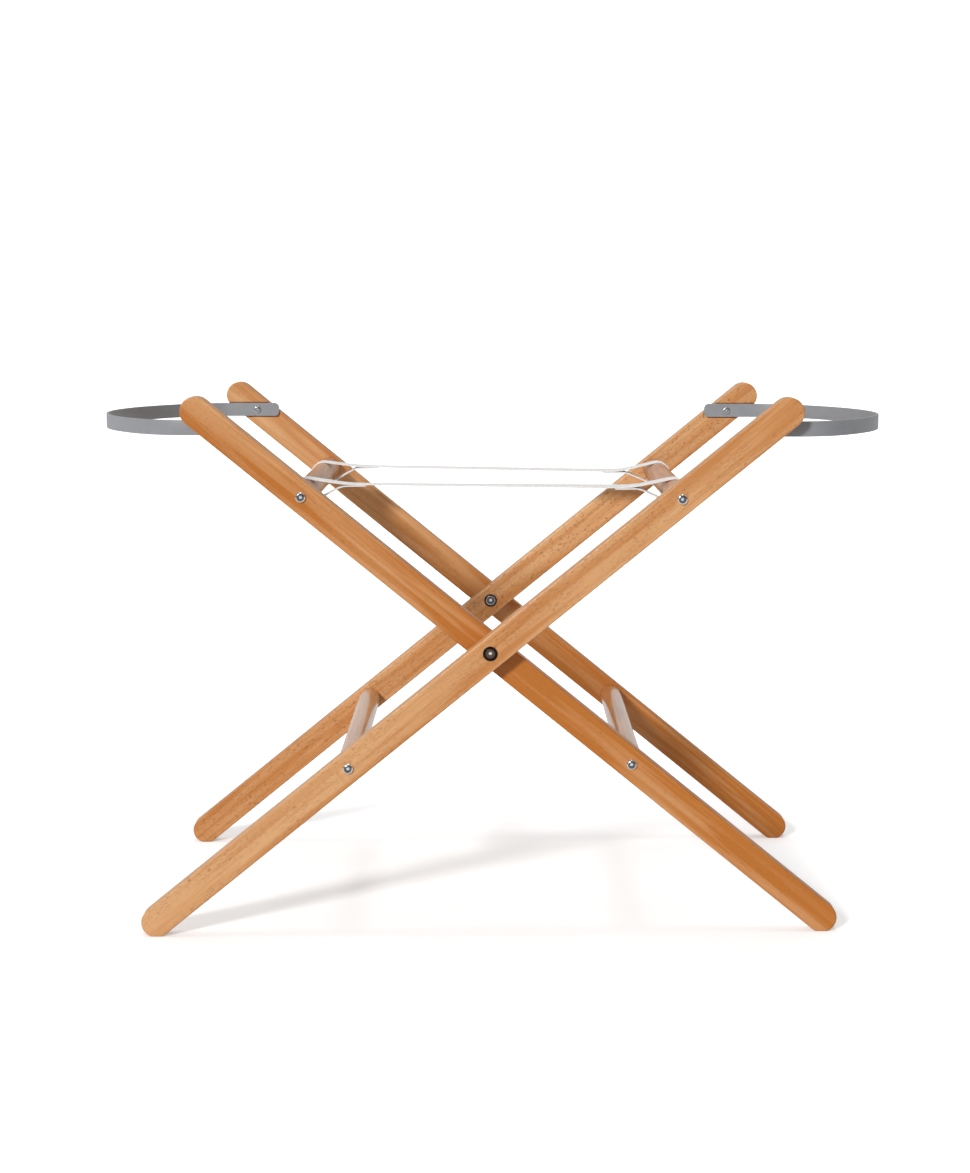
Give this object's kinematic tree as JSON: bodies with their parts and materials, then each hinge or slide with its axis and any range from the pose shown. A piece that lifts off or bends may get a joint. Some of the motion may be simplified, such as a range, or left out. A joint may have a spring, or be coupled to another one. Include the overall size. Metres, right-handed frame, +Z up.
{
  "type": "folding basket stand",
  "caption": "Folding wooden cross-leg stand for a baby's basket: two pivoted frames with round rails, a bent steel hoop at each end and two carrying straps.",
  "frame": {"origin": "middle of the footprint, on the floor", "axes": "+Z up; +X across the open stand, from the foot of one frame to the foot of the other; +Y along the pivot line, from the front legs to the back legs"},
  "size_m": [0.812, 0.4366, 0.5351],
  "materials": {
    "beech": "satin clear lacquer",
    "hoop_enamel": "satin grey powder coat",
    "bright_zinc": "bright zinc plate",
    "black_zinc": "black plate",
    "brass": "machined",
    "nylon": "matte",
    "webbing": "woven polyester webbing"
  },
  "bodies": {
    "frame_a": {"leg_outer_a": "beech", "leg_inner_a": "beech", "upper_rail_a": "beech", "lower_rail_a": "beech", "rail_bolts_a": "bright_zinc", "rail_inserts_a": "brass", "hoop_a": "hoop_enamel", "hoop_screws_a": "bright_zinc", "pivot_sleeve_nut_a": "bright_zinc", "pivot_bolt_a": "black_zinc", "pivot_spacer_a": "nylon", "strap_front": "webbing", "strap_back": "webbing"},
    "frame_b": {"leg_outer_b": "beech", "leg_inner_b": "beech", "upper_rail_b": "beech", "lower_rail_b": "beech", "rail_bolts_b": "bright_zinc", "rail_inserts_b": "brass", "hoop_b": "hoop_enamel", "hoop_screws_b": "bright_zinc", "pivot_sleeve_nut_b": "bright_zinc", "pivot_bolt_b": "black_zinc", "pivot_spacer_b": "nylon"}
  },
  "joints": [
    {"name": "fold", "type": "hinge", "parent": "frame_a", "child": "frame_b", "pos_m": [0, 0, 0.285], "axis": [0, -1, 0], "range_deg": [0, 92], "deforming": ["strap_front", "strap_back"]}
  ]
}
